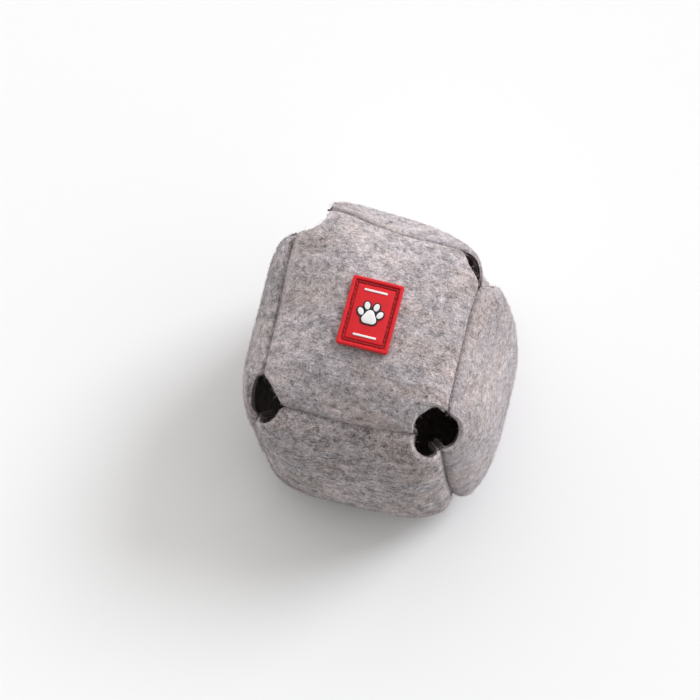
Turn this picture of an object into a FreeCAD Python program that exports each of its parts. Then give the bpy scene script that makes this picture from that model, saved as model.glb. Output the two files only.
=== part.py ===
"""Hollow felt ball, sewn from six panels of thick wool felt like a rounded cube.

Each panel is a square of felt with its four corners cut off. Neighbouring panels are sewn
edge to edge with the seam allowances turned in, so the ball has twelve straight seams and,
where three cut corners meet, eight openings into its hollow middle. A soft moulded badge is
sewn on the top panel.

Frame: millimetres, +Z up, -Y to the front, +X to the right. The origin is on the surface
that the ball rests on, under its middle.
"""
import FreeCAD, Part

import math
import os

from FreeCAD import Placement, Rotation, Vector

# The ball: seams lie on the edges of a cube, and the panels swell past them
SEAM_CUBE = 80.0            # from a seam to the opposite seam
SEAM_LENGTH = 55.0          # sewn length of each seam, between two openings
FELT = 3.5                  # thickness of the felt
CROWN_TOP = 12.0            # how far the top and bottom panels swell past their seams
CROWN_SIDE = 16.5           # the same for the left and right panels
CROWN_FRONT = 21.0          # the same for the front and back panels
SHOULDER_TOP = 5            # power of the top and bottom panels' curve: higher is flatter, with
                            # rounder edges
SHOULDER_SIDE = 3           # the same for the four panels round them
REST_FLAT = 0.5             # how much of the bottom panel's crown is pressed flat

# The seams
ALLOWANCE = 8.0             # depth of felt turned in along each seam
ALLOWANCE_START = 1.0       # the turned-in strip begins this far inside the seam line
SEAM_GAP = 0.2              # space between the two layers of a seam
THREAD_R = 0.35             # radius of the sewing thread
STITCH_DEPTH = 4.2          # row of stitches, in from the seam line
STITCH_PITCH = 3.6          # from one needle hole to the next
THREAD_CLEARANCE = 0.05     # between the thread and the face of the felt

# The badge: a moulded plate with a raised rim, a groove for its stitches and a plain field
BADGE_WIDTH = 22.0
BADGE_HEIGHT = 30.0
BADGE_Y = 1.5               # its middle, behind the middle of the top panel
BADGE_CORNER_R = 0.8
BADGE_RIM_TOP = 2.2         # height of the rim over the felt
BADGE_FIELD_TOP = 1.8       # height of the field over the felt
BADGE_GROOVE_TOP = 1.2      # height of the groove's floor over the felt
BADGE_RIM = 1.6             # width of the rim
BADGE_GROOVE = 1.5          # width of the groove
BADGE_SEAT = 0.1            # clearance between the badge and the felt
BADGE_THREAD_R = 0.3
BADGE_STITCH_PITCH = 3.0

# The badge's motif: a plain paw print on a dark backing, between two rules
BACKING_THICK = 0.35
MOTIF_THICK = 0.45
BACKING_BORDER = 0.6        # how far the backing shows round the paw
PAW_PAD_R = 3.2
PAW_PAD_LOBE = 0.14         # depth of the three soft lobes of the pad, as a share of its radius
PAW_PAD_POINTS = 24         # points that carry the pad's outline
PAW_PAD_Y = -2.0
TOE_LENGTH = 3.6
TOE_WIDTH = 2.5
TOES = ((-64.0, 5.0), (-22.0, 5.8), (22.0, 5.8), (64.0, 5.0))   # each toe's direction from the
                            # pad's middle in degrees, and how far out its own middle lies
RULE_LENGTH = 10.0
RULE_WIDTH = 0.9
RULE_Y = 9.8                # from the badge's middle to each rule

# Derived
HALF = SEAM_CUBE / 2
SEAM_HALF = SEAM_LENGTH / 2
REST_HEIGHT = HALF + CROWN_TOP - REST_FLAT
LAYER_GAP = SEAM_GAP / 2
GRID_REACH = 1.15           # the curved sheets are drawn past the seams, then trimmed
GRID_STEPS = 16

PANELS = {
    "top": (Vector(0, 0, 1), Rotation(), CROWN_TOP, SHOULDER_TOP),
    "bottom": (Vector(0, 0, -1), Rotation(Vector(1, 0, 0), 180), CROWN_TOP, SHOULDER_TOP),
    "front": (Vector(0, -1, 0), Rotation(Vector(1, 0, 0), 90), CROWN_FRONT, SHOULDER_SIDE),
    "back": (Vector(0, 1, 0), Rotation(Vector(1, 0, 0), -90), CROWN_FRONT, SHOULDER_SIDE),
    "right": (Vector(1, 0, 0), Rotation(Vector(0, 1, 0), 90), CROWN_SIDE, SHOULDER_SIDE),
    "left": (Vector(-1, 0, 0), Rotation(Vector(0, 1, 0), -90), CROWN_SIDE, SHOULDER_SIDE),
}
SEAMS = (
    ("top", "front"), ("top", "back"), ("top", "left"), ("top", "right"),
    ("bottom", "front"), ("bottom", "back"), ("bottom", "left"), ("bottom", "right"),
    ("front", "left"), ("front", "right"), ("back", "left"), ("back", "right"),
)


def swell(t, power):
    """Share of the crown left at t, which runs from 0 in the middle of a panel to 1 at its seam."""
    return 1 - abs(t) ** power


def swell_slope(t, power):
    return -power * abs(t) ** (power - 1) * math.copysign(1, t)


def sheet_height(u, v, crown, power, depth):
    """Height of a panel's outer surface, or of the surface that lies depth below it, square to it."""
    left_u, left_v = swell(u, power), swell(v, power)
    slope_x = crown / HALF * swell_slope(u, power) * left_v
    slope_y = crown / HALF * left_u * swell_slope(v, power)
    return HALF + crown * left_u * left_v - depth * math.sqrt(1 + slope_x ** 2 + slope_y ** 2)


def sheet_face(crown, power, depth):
    """A smooth face through a grid of such heights, reaching a little past the seams."""
    steps = [GRID_REACH * (2 * i / GRID_STEPS - 1) for i in range(GRID_STEPS + 1)]
    heights = [[sheet_height(u, v, crown, power, depth) for v in steps] for u in steps]
    start = HALF * steps[0]
    pace = HALF * (steps[1] - steps[0])
    surface = Part.BSplineSurface()
    surface.interpolate(heights, start, pace, start, pace)
    return surface.toShape()


def flat_polygon(points):
    return Part.Face(Part.makePolygon(points + points[:1]))


def seam_wedge():
    """The space that one panel may fill: inside the planes of its four seams and cut corners."""
    low, high = HALF / 2, 2 * HALF
    rings = []
    for z in (low, high):
        w = z - LAYER_GAP * math.sqrt(2)
        corners = [Vector(-w, -w, z), Vector(w, -w, z), Vector(w, w, z), Vector(-w, w, z)]
        rings.append(Part.makePolygon(corners + corners[:1]))
    pyramid = Part.makeLoft(rings, True, True)
    reach = HALF + SEAM_HALF
    diamond = flat_polygon([
        Vector(reach, 0, low), Vector(0, reach, low), Vector(-reach, 0, low), Vector(0, -reach, low),
    ])
    return pyramid.common(diamond.extrude(Vector(0, 0, high - low)))


def allowance_strip():
    """The felt turned in along a panel's front seam, slanting to the middle of the ball."""
    inwards = Vector(0, 1, -1).normalize()
    across = Vector(0, 1, 1).normalize()
    start = Vector(-SEAM_HALF, -HALF, HALF) + inwards * ALLOWANCE_START
    depth = inwards * (ALLOWANCE - ALLOWANCE_START)
    spare = across * -LAYER_GAP
    thick = across * (FELT + LAYER_GAP)
    section = flat_polygon([start + spare, start + thick, start + thick + depth, start + spare + depth])
    return section.extrude(Vector(SEAM_LENGTH, 0, 0))


def felt_panel(crown, power):
    """One panel with its four seam allowances, its outer side to +Z."""
    outer = sheet_face(crown, power, 0).extrude(Vector(0, 0, -HALF / 2))
    inner = sheet_face(crown, power, FELT).extrude(Vector(0, 0, -HALF))
    strips = []
    for turn in range(4):
        strip = allowance_strip()
        strip.rotate(Vector(0, 0, 0), Vector(0, 0, 1), 90 * turn)
        strips.append(strip)
    return outer.cut(inner).fuse(strips).common(seam_wedge()).removeSplitter()


def press_flat(panel):
    """Takes off the outermost part of the bottom panel's crown, where the ball rests."""
    corner = Vector(-SEAM_CUBE, -SEAM_CUBE, 0)
    space = Part.makeBox(2 * SEAM_CUBE, 2 * SEAM_CUBE, REST_HEIGHT, corner)
    return panel.common(space)


def rod(start, end, radius):
    return Part.makeCylinder(radius, start.distanceToPoint(end), start, end - start)


def ladder(along, half_width):
    """A row of lockstitch along X: a thread on each face of the felt, and one at each needle hole."""
    count = max(2, round(along / STITCH_PITCH))
    left = -count * STITCH_PITCH / 2
    right = -left
    rods = []
    for y in (-half_width, half_width):
        rods.append(rod(Vector(left - THREAD_R, y, 0), Vector(right + THREAD_R, y, 0), THREAD_R))
    for i in range(count + 1):
        x = left + i * STITCH_PITCH
        rods.append(rod(Vector(x, -half_width, 0), Vector(x, half_width, 0), THREAD_R))
    return rods[0].fuse(rods[1:])


def seam_thread(row, first, second):
    """The row of stitches placed in the seam between two panels."""
    sum_of_normals = PANELS[first][0] + PANELS[second][0]
    outwards = Vector(sum_of_normals).normalize()
    across = (PANELS[first][0] - PANELS[second][0]).normalize()
    thread = row.copy()
    thread.Placement = Placement(
        sum_of_normals * HALF - outwards * STITCH_DEPTH,
        Rotation(across.cross(outwards), across, outwards, "ZYX"),
    )
    return thread


def rounded_plate(width, height, radius, bottom, top):
    """A plate centred on Z, with its four upright edges rounded."""
    plate = Part.makeBox(width, height, top - bottom, Vector(-width / 2, -height / 2, bottom))
    if radius <= 0:
        return plate
    upright = [e for e in plate.Edges if abs(e.tangentAt(e.FirstParameter).z) > 0.99]
    return plate.makeFillet(radius, upright)


def badge_plate():
    """The badge's moulded plate: rim, stitch groove and field in one piece."""
    inner_w = BADGE_WIDTH - 2 * BADGE_RIM
    inner_h = BADGE_HEIGHT - 2 * BADGE_RIM
    field_w = inner_w - 2 * BADGE_GROOVE
    field_h = inner_h - 2 * BADGE_GROOVE
    plate = rounded_plate(BADGE_WIDTH, BADGE_HEIGHT, BADGE_CORNER_R, BADGE_SEAT, BADGE_RIM_TOP)
    well = rounded_plate(inner_w, inner_h, 0, BADGE_GROOVE_TOP, 2 * BADGE_RIM_TOP)
    field = rounded_plate(field_w, field_h, 0, BADGE_GROOVE_TOP, BADGE_FIELD_TOP)
    return plate.cut(well).fuse(field).removeSplitter()


def badge_loop(z, half_w, half_h):
    """A closed rectangle of thread round the badge's groove, at height z."""
    corners = [Vector(-half_w, -half_h, z), Vector(half_w, -half_h, z),
               Vector(half_w, half_h, z), Vector(-half_w, half_h, z)]
    pieces = []
    for here, there in zip(corners, corners[1:] + corners[:1]):
        pieces.append(rod(here, there, BADGE_THREAD_R))
        pieces.append(Part.makeSphere(BADGE_THREAD_R, here))
    return pieces


def badge_stitches():
    """The badge's lockstitch: a loop in its groove, a loop under the felt and threads between."""
    half_w = BADGE_WIDTH / 2 - BADGE_RIM - BADGE_GROOVE / 2
    half_h = BADGE_HEIGHT / 2 - BADGE_RIM - BADGE_GROOVE / 2
    over = BADGE_GROOVE_TOP + THREAD_CLEARANCE + BADGE_THREAD_R
    under = -FELT - THREAD_CLEARANCE - BADGE_THREAD_R
    pieces = badge_loop(over, half_w, half_h) + badge_loop(under, half_w, half_h)
    across = max(1, round(2 * half_w / BADGE_STITCH_PITCH))
    along = max(1, round(2 * half_h / BADGE_STITCH_PITCH))
    holes = []
    for side in (-1, 1):
        holes += [(2 * half_w * i / across - half_w, side * half_h) for i in range(across + 1)]
        holes += [(side * half_w, 2 * half_h * i / along - half_h) for i in range(1, along)]
    for x, y in holes:
        pieces.append(rod(Vector(x, y, under), Vector(x, y, over), BADGE_THREAD_R))
    return pieces[0].fuse(pieces[1:])


def paw_outlines(border):
    """The pad and the four toes of the paw as flat faces, grown by border."""
    pad_points = []
    for i in range(PAW_PAD_POINTS):
        angle = 2 * math.pi * i / PAW_PAD_POINTS
        radius = PAW_PAD_R * (1 - PAW_PAD_LOBE * math.sin(3 * angle)) + border
        pad_points.append(Vector(radius * math.cos(angle), PAW_PAD_Y + radius * math.sin(angle), 0))
    pad = Part.BSplineCurve()
    pad.interpolate(pad_points, True)
    faces = [Part.Face(Part.Wire(pad.toShape()))]
    for spread, reach in TOES:
        out = math.radians(90 - spread)
        middle = Vector(reach * math.cos(out), PAW_PAD_Y + reach * math.sin(out), 0)
        toe = Part.Ellipse(Vector(0, 0, 0), TOE_LENGTH / 2 + border, TOE_WIDTH / 2 + border).toShape()
        face = Part.Face(Part.Wire(toe))
        face.Placement = Placement(middle, Rotation(Vector(0, 0, 1), 90 - spread / 2))
        faces.append(face)
    return faces


def raised(faces, bottom, thick):
    solids = []
    for face in faces:
        solid = face.extrude(Vector(0, 0, thick))
        solid.translate(Vector(0, 0, bottom))
        solids.append(solid)
    return solids


def badge_pieces():
    """The badge's pieces, standing on Z = 0."""
    backing = raised(paw_outlines(BACKING_BORDER), BADGE_FIELD_TOP, BACKING_THICK)
    paw = raised(paw_outlines(0), BADGE_FIELD_TOP + BACKING_THICK, MOTIF_THICK)
    rules = []
    for side in (-1, 1):
        rule = rounded_plate(RULE_LENGTH, RULE_WIDTH, RULE_WIDTH / 3,
                             BADGE_FIELD_TOP, BADGE_FIELD_TOP + MOTIF_THICK)
        rule.translate(Vector(0, side * RULE_Y, 0))
        rules.append(rule)
    return {
        "badge_plate": badge_plate(),
        "badge_stitches": badge_stitches(),
        "badge_paw_backing": backing[0].fuse(backing[1:]).removeSplitter(),
        "badge_paw": Part.makeCompound(paw),
        "badge_rules": Part.makeCompound(rules),
    }


def build():
    """Every piece of the ball, by name, in the ball's own frame."""
    pieces = {}
    for name, (_, turn, crown, power) in PANELS.items():
        panel = felt_panel(crown, power)
        if name == "bottom":
            panel = press_flat(panel)
        panel.Placement = Placement(Vector(0, 0, 0), turn)
        pieces[name + "_panel"] = panel
    row = ladder(SEAM_LENGTH - STITCH_PITCH, LAYER_GAP + FELT + THREAD_CLEARANCE + THREAD_R)
    for first, second in SEAMS:
        pieces["seam_thread_" + first + "_" + second] = seam_thread(row, first, second)
    for name, piece in badge_pieces().items():
        piece.translate(Vector(0, BADGE_Y, HALF + CROWN_TOP))
        pieces[name] = piece
    for piece in pieces.values():
        piece.translate(Vector(0, 0, REST_HEIGHT))
    return pieces


os.makedirs("parts", exist_ok=True)
for node, shape in build().items():
    shape.exportStep("parts/" + node + ".step")
    print(node, len(shape.Solids), "solid(s),", round(shape.Volume), "mm3, valid", shape.isValid())
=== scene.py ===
"""Hollow ball of six sewn wool-felt panels, with a soft moulded badge on its top panel.

Everything is in metres, +Z up, -Y to the front, with the ball standing on Z = 0.
"""

import math

import bpy
import numpy as np
from bpy.props import FloatProperty, FloatVectorProperty, IntProperty, PointerProperty
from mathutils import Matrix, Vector


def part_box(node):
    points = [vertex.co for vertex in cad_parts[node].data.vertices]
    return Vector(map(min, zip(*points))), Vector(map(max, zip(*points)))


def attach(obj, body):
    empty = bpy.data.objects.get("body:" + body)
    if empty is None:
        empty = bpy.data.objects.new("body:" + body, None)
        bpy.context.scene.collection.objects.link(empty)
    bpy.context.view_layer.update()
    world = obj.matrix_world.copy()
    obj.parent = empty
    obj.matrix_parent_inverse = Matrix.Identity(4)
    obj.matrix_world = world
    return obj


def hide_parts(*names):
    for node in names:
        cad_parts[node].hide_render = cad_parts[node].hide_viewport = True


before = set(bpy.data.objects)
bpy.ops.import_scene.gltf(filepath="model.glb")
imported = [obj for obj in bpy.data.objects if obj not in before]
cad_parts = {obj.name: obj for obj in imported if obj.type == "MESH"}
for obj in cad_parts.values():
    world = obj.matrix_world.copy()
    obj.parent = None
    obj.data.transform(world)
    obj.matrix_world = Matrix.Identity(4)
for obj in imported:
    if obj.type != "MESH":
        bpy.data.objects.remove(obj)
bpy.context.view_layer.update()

bl_info = {
    "name": "Hollow Felt Ball",
    "version": (1, 0, 0),
    "blender": (4, 5, 0),
    "location": "3D View > Sidebar > Felt Ball",
    "description": "Builds a hollow ball sewn from six felt panels, with a soft moulded badge",
    "category": "Add Mesh",
}

MM = 0.001


# ---------------------------------------------------------------- sizes read from the frame

def seam_cube():
    """The middle of the cube of seams, and the distance from there to each seam plane."""
    low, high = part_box("front_panel")
    half = (high[0] - low[0]) / 2
    return np.array([0.0, 0.0, (low[2] + high[2]) / 2]), half


CENTRE, HALF = seam_cube()
BODY = "root"
SEAMS = [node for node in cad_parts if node.startswith("seam_thread_")]

# Each panel's own axes in the ball: to its right, up it, and out of it
PANEL_AXES = {
    "top": ((1, 0, 0), (0, 1, 0), (0, 0, 1)),
    "bottom": ((1, 0, 0), (0, -1, 0), (0, 0, -1)),
    "front": ((1, 0, 0), (0, 0, 1), (0, -1, 0)),
    "back": ((-1, 0, 0), (0, 0, 1), (0, 1, 0)),
    "right": ((0, 1, 0), (0, 0, 1), (1, 0, 0)),
    "left": ((0, -1, 0), (0, 0, 1), (-1, 0, 0)),
}

# How far each panel swells past its seams, as a share of HALF: the ball is filled unevenly
RISE = {"top": 0.36, "bottom": 0.30, "front": 0.42, "back": 0.485, "right": 0.445, "left": 0.373}

SEAM_SHARE = 0.703      # sewn half length of a seam, as a share of HALF
TURN = math.radians(135)    # a panel's surface turns this far from its middle into the seam
# How flat a panel's middle is: 1 is a round arc, and higher is flatter with rounder shoulders
BELLY = {"top": 1.35, "bottom": 2.1, "front": 2.1, "back": 2.1, "right": 2.1, "left": 2.1}
CUT_REACH = 0.9         # a corner's cut draws in the felt this far behind it
FULLNESS = 1.6          # how full a panel's corners are: 1 is softly domed, and higher is boxier
FOLD = 0.86             # share of the arc at which the felt starts to roll into its seam
ROLL_EASE = 1.3         # how gently that roll starts
ARC_STEPS = 1600        # steps of the tables of a panel's arc
CROWDING = 0.45         # how much closer a panel's grid lines lie at its edges: 0 is evenly
ALLOWANCE = 8 * MM      # felt turned in along each seam
LAYER_GAP = 0.12 * MM   # each layer of a seam stands this far from the seam plane
NIP = 0.93              # share of the arc from which that gap opens
LIFT_FROM = 0.84        # share of the arc from which a closed-up seam is lifted
RIM_ROWS = 3            # rows of points across the thickness of the felt at its edges
RIM_BULGE = 0.12        # how far the felt's cut edges bulge, as a share of its thickness
FLAT_APART = 0.31       # distance between two panels' flat patterns on the roll of felt
INNER_APART = 0.07      # distance between a panel's outer and inner face on that roll
RIM_APART = 0.5 * MM    # distance between a panel's outer face and its cut edges on that roll
PANEL_LINES, QUICK_LINES = 200, 100     # grid lines of a panel each way, and in a quick build
FOLDED = 0.98           # share of the arc from which the seam presses the felt in full
PRESSED = 0.25          # share of the felt's thickness that a seam presses out of it
SMOOTHED = 0.8          # share of its unevenness that a seam presses out of it
HALVINGS = 40           # steps in the search for a panel's crown

# How strongly each panel's felt is flecked: a painted lit and shaded look, with stronger flecks on the
# shaded front and left panels and weaker ones on the lit back and right panels
FLECK_STRENGTH_BY_LIGHT = {"top": 1.0, "bottom": 1.0, "front": 1.4, "back": 0.9, "right": 0.85, "left": 1.2}
FLECK_MEAN = 2.41       # mean of the sum of noises that makes the flecks


# ---------------------------------------------------------------- numbers on whole arrays

def running_sum(values, steps):
    """Integral from the first step to each step, by the trapezoid rule."""
    parts = (values[1:] + values[:-1]) / 2 * np.diff(steps)
    return np.concatenate([[0.0], np.cumsum(parts)])


def unit(vectors):
    return vectors / np.linalg.norm(vectors, axis=-1, keepdims=True)


def smooth(x, low, high):
    """0 below low, 1 above high, and a cubic ease between."""
    t = np.clip((x - low) / (high - low), 0, 1)
    return t * t * (3 - 2 * t)


def soft_noise(points, cell, seed):
    """Smooth random field from -1 to 1: random values on a cubic lattice, eased between."""
    size = 32
    values = np.random.default_rng(seed).uniform(-1, 1, (size, size, size))
    scaled = points / cell
    base = np.floor(scaled).astype(int)
    part = scaled - base
    part = part * part * (3 - 2 * part)
    total = np.zeros(points.shape[:-1])
    for corner in np.ndindex(2, 2, 2):
        weight = np.prod(np.where(corner, part, 1 - part), axis=-1)
        at = (base + corner) % size
        total += weight * values[at[..., 0], at[..., 1], at[..., 2]]
    return total


# ---------------------------------------------------------------- the felt's shape

def rolled_profile(rise, belly):
    """Half a cross-section of a panel: tables of t, across and drop, and the half's arc length.

    t is the share of the arc from the panel's middle to its seam. The tangent slopes down by
    crown * t**belly, and from FOLD on the rest of TURN is added as an eased roll; crown is
    halved in on until the drop is rise where across is 1.
    """
    t = np.linspace(0, 1, ARC_STEPS + 1)
    roll = np.clip((t - FOLD) / (1 - FOLD), 0, 1) ** ROLL_EASE
    low, high = 0.0, 1.5
    for _ in range(HALVINGS):
        crown = (low + high) / 2
        angle = crown * t ** belly + (TURN - crown) * roll
        across = running_sum(np.cos(angle), t)
        drop = running_sum(np.sin(angle), t)
        if drop[-1] / across[-1] > rise:
            high = crown
        else:
            low = crown
    length = 1 / across[-1]
    return t, across * length, drop * length, length


PROFILE = {name: rolled_profile(RISE[name], BELLY[name]) for name in RISE}


def panel_point(name, u, v):
    """A point of a panel's outer surface, in the ball's frame before it is leaned.

    u and v run from -1 to 1 between opposite seams, and beyond 1 they follow the felt turned in.
    Each direction by itself leaves the share left_u or left_v of the rise. Height over the seams
    is rise / (1 + n), with n the FULLNESS-norm of the two ratios of what is lost to what is left.
    Across the panel a point follows the rolled profile, and near the other pair of seams it goes
    over to an even spacing, so that neighbouring panels meet point to point.
    """
    t, across, drop, length = PROFILE[name]
    rise = RISE[name]
    over_u = np.maximum(np.abs(u) - 1, 0) * length / math.sqrt(2)
    over_v = np.maximum(np.abs(v) - 1, 0) * length / math.sqrt(2)
    left_u = np.maximum(1 - np.interp(np.abs(u), t, drop) / rise, 0)
    left_v = np.maximum(1 - np.interp(np.abs(v), t, drop) / rise, 0)
    even_u = np.minimum(np.abs(u), 1)
    even_v = np.minimum(np.abs(v), 1)
    x = even_u + np.sqrt(left_v) * (np.interp(np.abs(u), t, across) - even_u) - over_u
    y = even_v + np.sqrt(left_u) * (np.interp(np.abs(v), t, across) - even_v) - over_v
    lost_u = (1 - left_u) / np.maximum(left_u, 1e-6)
    lost_v = (1 - left_v) / np.maximum(left_v, 1e-6)
    lost = (lost_u ** FULLNESS + lost_v ** FULLNESS) ** (1 / FULLNESS)
    height = 1 + rise / (1 + lost) - over_u - over_v
    height = height + LAYER_GAP / HALF * smooth(np.maximum(np.abs(u), np.abs(v)), NIP, 1.0)
    right, up, out = (np.array(axis, float) for axis in PANEL_AXES[name])
    local = np.stack([np.sign(u) * x, np.sign(v) * y, height], axis=-1) * HALF
    return CENTRE + local @ np.stack([right, up, out])


def lean(points, shape):
    """The set of the whole ball: it tapers upwards, is longer than wide and leans over its base."""
    height = (points[..., 2] - CENTRE[2]) / HALF
    inner = np.clip(height, -1, 1)
    taper = 1 - shape.taper * inner
    leaned = points - CENTRE
    x = leaned[..., 0] * taper + shape.lean_x * HALF * inner
    y = leaned[..., 1] * taper * shape.stretch + shape.lean_y * HALF * inner
    return np.stack([x, y, leaned[..., 2]], axis=-1) + CENTRE


def octagon_grid(count, reach, cut):
    """u and v on a grid that fills |u|, |v| <= reach and |u| + |v| <= cut.

    Rows are stretched to the octagon's width, and the lines lie closer towards its edges.
    """
    even = np.linspace(-1, 1, count)
    spread = (1 - CROWDING) * even + CROWDING * np.sin(even * math.pi / 2)
    v = np.broadcast_to(reach * spread, (count, count))
    width = np.minimum(reach, cut - np.abs(v))
    return spread[:, None] * width, v


def surface_normals(points):
    """Outward normals of a grid of points, from the cross product of its two directions."""
    return unit(np.cross(np.gradient(points, axis=0), np.gradient(points, axis=1)))


def quads(rows, columns, wrap=False):
    """Corner numbers of the quads of a grid whose points are numbered row by row."""
    last = columns if wrap else columns - 1
    i, j = np.meshgrid(np.arange(rows - 1), np.arange(last), indexing="ij")
    k = (j + 1) % columns
    return np.stack([i * columns + j, (i + 1) * columns + j, (i + 1) * columns + k, i * columns + k],
                    axis=-1).reshape(-1, 4)


def border_loop(rows, columns):
    """Numbers of the points round a grid's border, anticlockwise seen from outside."""
    n = np.arange(rows * columns).reshape(rows, columns)
    return np.concatenate([n[:-1, 0], n[-1, :-1], n[:0:-1, -1], n[0, :0:-1]])


def thick_sheet(outer, thickness, edge_gap, edge_round):
    """A closed sheet of felt from a grid of its outer surface.

    The inner surface lies thickness below along the normals. Near a cut edge both surfaces curve
    towards each other on a quarter circle of radius edge_round, and between them the rim bulges.
    """
    normals = surface_normals(outer)
    near = np.clip(1 - edge_gap / edge_round, 0, 1)
    inset = (edge_round * (1 - np.sqrt(1 - near ** 2)))[..., None]
    top = outer - normals * inset
    under = outer - normals * (thickness - inset)
    rows, columns = outer.shape[:2]
    loop = border_loop(rows, columns)
    a = top.reshape(-1, 3)[loop]
    b = under.reshape(-1, 3)[loop]
    along = np.roll(a, -1, axis=0) - np.roll(a, 1, axis=0)
    outwards = unit(np.cross(along, normals.reshape(-1, 3)[loop]))
    bulge = RIM_BULGE * thickness.reshape(-1, 1)[loop]
    rims = []
    for row in range(1, RIM_ROWS + 1):
        share = row / (RIM_ROWS + 1)
        rims.append(a + (b - a) * share + outwards * bulge * math.sin(math.pi * share))
    size = rows * columns
    points = np.concatenate([top.reshape(-1, 3), under.reshape(-1, 3), *rims])
    faces = [quads(rows, columns), quads(rows, columns)[:, ::-1] + size]
    rings = [loop] + [2 * size + len(loop) * r + np.arange(len(loop)) for r in range(RIM_ROWS)]
    rings.append(loop + size)
    for high, low in zip(rings, rings[1:]):
        faces.append(np.stack([high, low, np.roll(low, -1), np.roll(high, -1)], axis=-1))
    return points, np.concatenate(faces), loop


# ---------------------------------------------------------------- pieces

def new_piece(name, points, faces, material, uv=None, fields=None):
    """A smooth mesh object at the origin, from points, a list of face arrays and a UV per point.

    fields holds numbers per point that the felt reads. inner is how far painted shade darkens the felt:
    0 on its outer face and 1 on its inner face; below 0 it makes a stray fibre paler, partly as painted
    glow. flecks is how strong its flecks are, set per panel to follow the light.
    """
    faces = faces if isinstance(faces, list) else [faces]
    mesh = bpy.data.meshes.new(name)
    mesh.vertices.add(len(points))
    mesh.vertices.foreach_set("co", np.asarray(points, np.float32).ravel())
    corners = np.concatenate([f.ravel() for f in faces])
    sizes = np.concatenate([np.full(len(f), f.shape[1]) for f in faces])
    mesh.loops.add(len(corners))
    mesh.loops.foreach_set("vertex_index", corners.astype(np.int32))
    mesh.polygons.add(len(sizes))
    mesh.polygons.foreach_set("loop_start", (np.cumsum(sizes) - sizes).astype(np.int32))
    mesh.update(calc_edges=True)
    mesh.polygons.foreach_set("use_smooth", np.ones(len(sizes), bool))
    if uv is not None:
        layer = mesh.uv_layers.new(name="flat_pattern")
        layer.data.foreach_set("uv", np.asarray(uv, np.float32)[corners].ravel())
    for field, values in (fields or {}).items():
        layer = mesh.attributes.new(field, "FLOAT", "POINT")
        layer.data.foreach_set("value", np.broadcast_to(values, len(points)).astype(np.float32))
    mesh.validate()
    mesh.materials.append(material)
    piece = bpy.data.objects.new(name, mesh)
    bpy.context.scene.collection.objects.link(piece)
    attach(piece, BODY)
    return piece


def tube(path, radius, sides=8, closed=False, up=(0, 0, 1)):
    """A round tube along a path: rings of points square to it, with a point at each open end."""
    if closed:
        tangent = unit(np.roll(path, -1, axis=0) - np.roll(path, 1, axis=0))
    else:
        tangent = unit(np.gradient(path, axis=0))
    side = unit(np.cross(tangent, np.broadcast_to(np.asarray(up, float), tangent.shape)))
    lift = np.cross(side, tangent)
    angle = np.arange(sides) * 2 * math.pi / sides
    radius = np.broadcast_to(np.asarray(radius, float), (len(path), sides) if np.ndim(radius) == 2
                             else (len(path),))
    spoke = side[:, None] * np.cos(angle)[:, None] + lift[:, None] * np.sin(angle)[:, None]
    rings = path[:, None] + spoke * (radius if radius.ndim == 2 else radius[:, None])[..., None]
    points = rings.reshape(-1, 3)
    faces = quads(len(path), sides, wrap=True)
    if closed:
        last = (len(path) - 1) * sides + np.arange(sides)
        first = np.arange(sides)
        seam = np.stack([last, first, np.roll(first, -1), np.roll(last, -1)], axis=-1)
        return points, [np.concatenate([faces, seam])]
    size = len(points)
    points = np.concatenate([points, path[:1], path[-1:]])
    first = np.arange(sides)
    last = (len(path) - 1) * sides + first
    caps = np.concatenate([
        np.stack([np.full(sides, size), first, np.roll(first, -1)], axis=-1),
        np.stack([np.full(sides, size + 1), np.roll(last, -1), last], axis=-1)])
    return points, [faces, caps]


def joined(parts):
    """One set of points and faces from several."""
    points, faces, start = [], [], 0
    for p, fs in parts:
        points.append(p)
        faces.extend(f + start for f in fs)
        start += len(p)
    return np.concatenate(points), faces


# ---------------------------------------------------------------- the felt's own unevenness

# Soft hollows and swellings of single panels: (u, v, reach, (right, up, out)), as shares of HALF
PANEL_MOVES = {
    "front": [(0.0, 0.55, 0.55, (0.0, 0.0, -0.10))],
    "back": [(0.70, 0.80, 0.25, (0.0, 0.03, 0.04))],
    "right": [(0.75, 0.60, 0.28, (-0.02, 0.02, 0.06))],
    "left": [(-0.60, 0.80, 0.25, (0.0, 0.02, 0.05))],
}

# The same for the whole ball, so that neighbouring panels move together: (place, reach, move)
BALL_MOVES = [
    ((0.0, -1.0, 1.0), 0.75, (0.0, 0.0, -0.16)),
    ((-1.0, 0.0, 1.0), 0.60, (0.0, 0.0, -0.07)),
    ((-0.85, 0.85, 1.0), 0.60, (-0.11, 0.22, 0.0)),
    ((-1.0, 1.0, 0.70), 0.40, (0.22, -0.22, -0.15)),
    ((0.85, 1.0, 1.0), 0.45, (0.06, 0.05, 0.0)),
    ((1.0, 1.0, 0.6), 0.40, (0.0, -0.19, -0.06)),
    ((1.35, 0.55, 0.3), 0.40, (0.05, 0.0, 0.0)),
    ((-1.0, -1.0, 0.55), 0.45, (-0.01, -0.09, -0.06)),
    ((0.85, -0.85, 1.0), 0.40, (0.03, 0.02, 0.0)),
    ((1.3, -0.8, -0.3), 0.40, (-0.03, 0.02, 0.0)),
    ((1.0, -1.0, -0.7), 0.35, (0.0, 0.05, 0.0)),
    ((0.75, 1.35, 0.35), 0.40, (-0.12, -0.12, 0.0)),
]

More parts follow.
